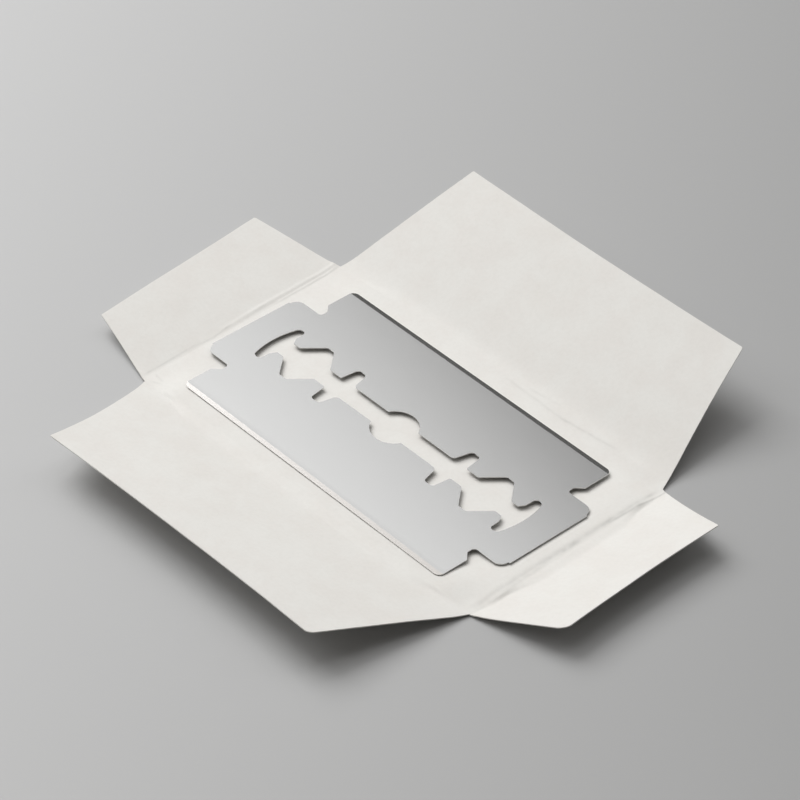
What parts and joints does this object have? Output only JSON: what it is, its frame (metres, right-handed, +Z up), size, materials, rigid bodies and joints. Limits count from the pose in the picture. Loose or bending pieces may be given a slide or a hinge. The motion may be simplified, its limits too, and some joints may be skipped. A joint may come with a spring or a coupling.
{
  "type": "double-edge razor blade in wrapper",
  "caption": "Flat double-edge razor blade with a slotted centre, lying on its opened paper wrapper, whose flaps fold shut over it.",
  "frame": {"origin": "centre of the underside of the wrapper's middle panel, on the surface that it rests on", "axes": "+X along the blade and the middle panel, towards the right end flap; +Y towards the back flap; +Z up out of the paper"},
  "size_m": [0.0652, 0.0556, 0.0073],
  "materials": {
    "paper": "waxed wrapping paper, warm white, soft sheen",
    "blade_steel": "finely brushed along the length, with ground and polished bevels",
    "wax": "dull translucent wax"
  },
  "bodies": {
    "wrapper": {"wrapper_base": "paper", "wax_spots": "wax"},
    "back_flap": {"wrapper_back_flap": "paper"},
    "front_flap": {"wrapper_front_flap": "paper"},
    "left_flap": {"wrapper_left_flap": "paper"},
    "right_flap": {"wrapper_right_flap": "paper"},
    "blade": {"blade": "blade_steel"}
  },
  "joints": [
    {"name": "back_fold", "type": "hinge", "parent": "wrapper", "child": "back_flap", "pos_m": [0, 0.0128, 0.0006], "axis": [1, 0, 0], "range_deg": [-26, 154]},
    {"name": "front_fold", "type": "hinge", "parent": "wrapper", "child": "front_flap", "pos_m": [0, -0.0128, 0.0005], "axis": [-1, 0, 0], "range_deg": [-16, 164]},
    {"name": "left_fold", "type": "hinge", "parent": "wrapper", "child": "left_flap", "pos_m": [-0.02305, 0, 0.0004], "axis": [0, 1, 0], "range_deg": [-11, 169]},
    {"name": "right_fold", "type": "hinge", "parent": "wrapper", "child": "right_flap", "pos_m": [0.02305, 0, 0.0004], "axis": [0, -1, 0], "range_deg": [-18, 162]},
    {"name": "blade_lift", "type": "slide", "parent": "wrapper", "child": "blade", "axis": [0, 0, 1], "range_m": [0, 0.04]}
  ]
}
